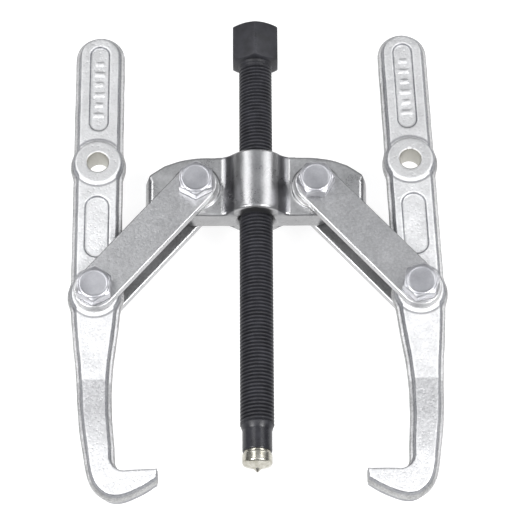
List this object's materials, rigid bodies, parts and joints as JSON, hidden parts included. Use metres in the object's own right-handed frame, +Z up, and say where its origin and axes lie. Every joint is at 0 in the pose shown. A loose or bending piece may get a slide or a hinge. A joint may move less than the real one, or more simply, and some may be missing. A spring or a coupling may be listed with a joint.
{
  "type": "gear puller",
  "caption": "Two-jaw gear puller: forged hub with strap links, hooked jaws and a threaded forcing screw with a hex head and a swivel tip.",
  "frame": {"origin": "bottom centre of the tool lying on its back, on the plane of the rear bolt ends", "axes": "+X to the right jaw, +Y along the forcing screw towards its hex head, +Z up through the bolt heads"},
  "size_m": [0.1807, 0.2448, 0.0427],
  "materials": {
    "forged_zinc": "zinc plate over a drop-forged skin",
    "hub_zinc": "zinc plate over a drop-forged skin",
    "strap_zinc": "satin zinc plate with bright edges",
    "fastener_zinc": "bright zinc plate",
    "spring_steel": "dull zinc plate",
    "black_oxide": "oiled black oxide",
    "bright_steel": "polished hardened steel"
  },
  "bodies": {
    "frame": {"hub": "hub_zinc", "left_hub_bolt": "fastener_zinc", "right_hub_bolt": "fastener_zinc", "left_hub_nut": "fastener_zinc", "right_hub_nut": "fastener_zinc", "left_hub_washer": "spring_steel", "right_hub_washer": "spring_steel"},
    "tip": {"screw_tip": "bright_steel", "thrust_ball": "bright_steel", "tip_retaining_ring": "spring_steel"},
    "screw": {"forcing_screw": "black_oxide"},
    "left_links": {"left_front_link": "strap_zinc", "left_rear_link": "strap_zinc"},
    "left_jaw_pin": {"left_jaw_bolt": "fastener_zinc", "left_jaw_nut": "fastener_zinc", "left_jaw_washer": "spring_steel"},
    "left_jaw": {"left_jaw": "forged_zinc"},
    "right_links": {"right_front_link": "strap_zinc", "right_rear_link": "strap_zinc"},
    "right_jaw_pin": {"right_jaw_bolt": "fastener_zinc", "right_jaw_nut": "fastener_zinc", "right_jaw_washer": "spring_steel"},
    "right_jaw": {"right_jaw": "forged_zinc"}
  },
  "joints": [
    {"name": "screw_feed", "type": "slide", "parent": "frame", "child": "tip", "axis": [0, 1, 0], "range_m": [-0.0468, 0.0936]},
    {"name": "screw_turn", "type": "hinge", "parent": "tip", "child": "screw", "pos_m": [0, 0, 0.02408], "axis": [0, 1, 0], "range_deg": [-9380, 18740]},
    {"name": "left_link_swing", "type": "hinge", "parent": "frame", "child": "left_links", "pos_m": [-0.0287, 0.034, 0.02408], "axis": [0, 0, -1], "range_deg": [-4, 42]},
    {"name": "left_jaw_bolt_turn", "type": "hinge", "parent": "left_links", "child": "left_jaw_pin", "pos_m": [-0.07636, -0.02063, 0.02408], "axis": [0, 0, -1], "range_deg": [-42.5, 4.5]},
    {"name": "left_jaw_tilt", "type": "hinge", "parent": "left_jaw_pin", "child": "left_jaw", "pos_m": [-0.07636, -0.02063, 0.02408], "axis": [0, 0, 1], "range_deg": [-4, 20]},
    {"name": "right_link_swing", "type": "hinge", "parent": "frame", "child": "right_links", "pos_m": [0.0287, 0.034, 0.02408], "axis": [0, 0, 1], "range_deg": [-4, 42]},
    {"name": "right_jaw_bolt_turn", "type": "hinge", "parent": "right_links", "child": "right_jaw_pin", "pos_m": [0.07749, -0.01962, 0.02408], "axis": [0, 0, 1], "range_deg": [-42.5, 4.5]},
    {"name": "right_jaw_tilt", "type": "hinge", "parent": "right_jaw_pin", "child": "right_jaw", "pos_m": [0.07749, -0.01962, 0.02408], "axis": [0, 0, -1], "range_deg": [-4, 20]}
  ],
  "couplings": [
    {"joint": "screw_turn", "follows": "screw_feed", "rad_per_m": 3490.7},
    {"joint": "left_jaw_bolt_turn", "follows": "left_link_swing", "ratio": -1},
    {"joint": "right_jaw_bolt_turn", "follows": "right_link_swing", "ratio": -1}
  ]
}
